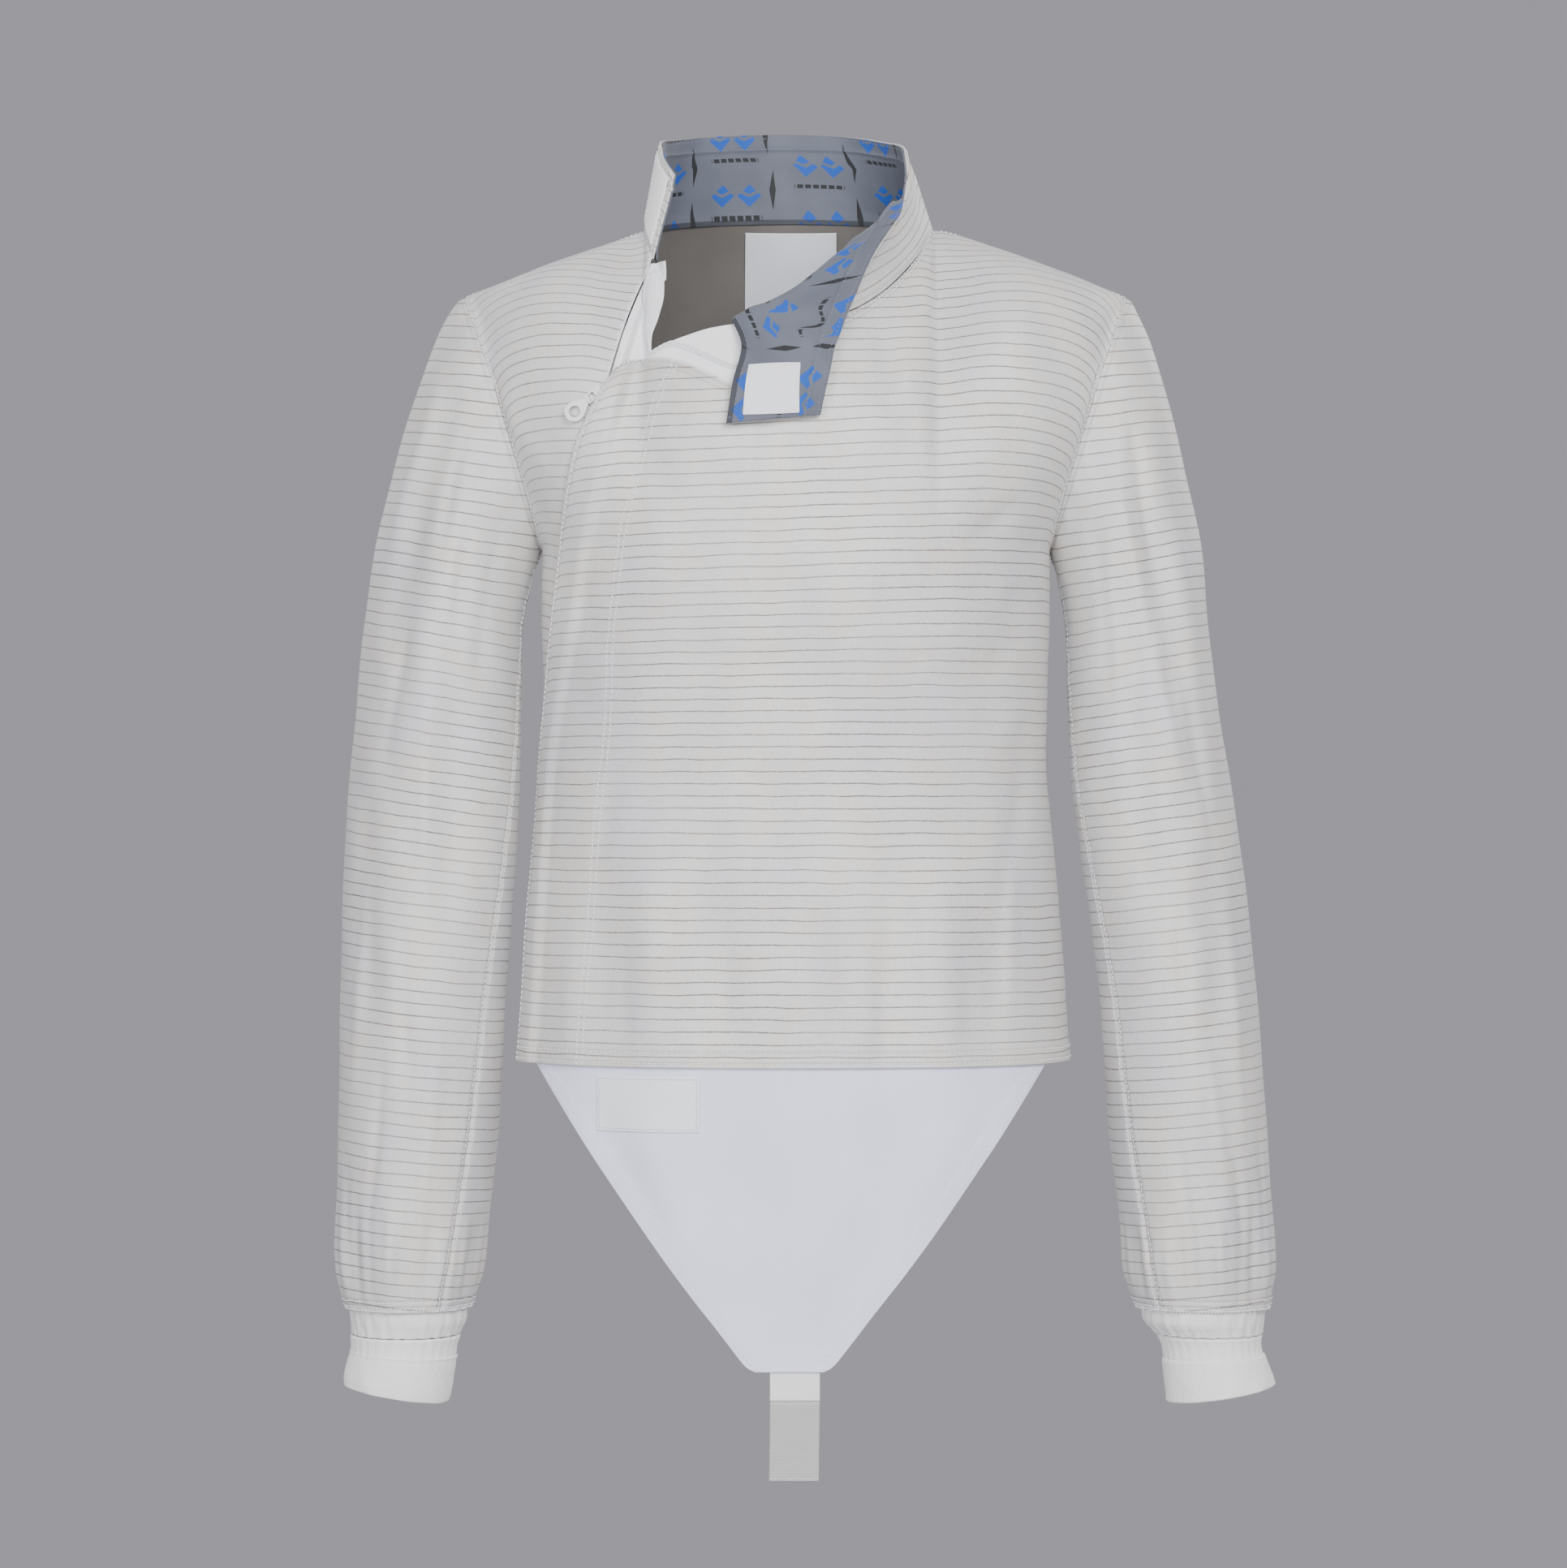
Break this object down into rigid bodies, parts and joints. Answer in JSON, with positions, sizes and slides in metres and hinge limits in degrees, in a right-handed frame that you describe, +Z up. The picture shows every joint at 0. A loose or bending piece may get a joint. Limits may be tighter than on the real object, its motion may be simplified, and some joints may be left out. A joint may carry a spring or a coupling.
{
  "type": "sabre fencing lame",
  "caption": "Waist length sabre fencing lame with long sleeves, standing collar, side zip under a placket, knitted cuffs and a front apron, filled out as worn.",
  "frame": {"origin": "middle of the neck's base between the shoulders, where the wearer's shoulders hold the garment", "axes": "+Z up, the front faces -Y, the wearer's left is +X"},
  "size_m": [0.5538, 0.2072, 0.7914],
  "materials": {
    "lame": "conductive metallised cloth, soft sheen",
    "white_cloth": "matt white woven cloth",
    "back_lining": "matt grey-white lining",
    "knit": "matt off-white rib knit",
    "collar_lining": "matt printed lining",
    "elastic": "woven elastic",
    "enamel": "white enamel"
  },
  "bodies": {
    "garment": {"apron": "white_cloth", "apron_label": "white_cloth", "back": "lame", "back_lining": "back_lining", "collar": "lame", "collar_lining": "collar_lining", "cuff_left": "knit", "cuff_right": "knit", "front_main": "lame", "front_side": "lame", "hook_patch": "white_cloth", "loop_patch": "white_cloth", "neck_label": "white_cloth", "sleeve_left": "lame", "sleeve_right": "lame", "strap": "elastic", "strap_tab": "white_cloth", "wrist_lining_left": "white_cloth", "wrist_lining_right": "white_cloth", "zip_chain": "white_cloth", "zip_facing": "white_cloth", "zip_slider": "enamel", "zip_tape_side": "white_cloth"},
    "pull": {"zip_pull": "enamel"}
  },
  "joints": [
    {"name": "pull_swing", "type": "hinge", "parent": "garment", "child": "pull", "pos_m": [-0.11921, -0.0799, -0.09973], "axis": [0.6644, -0.1903, -0.7228], "range_deg": [-100, 0]}
  ]
}
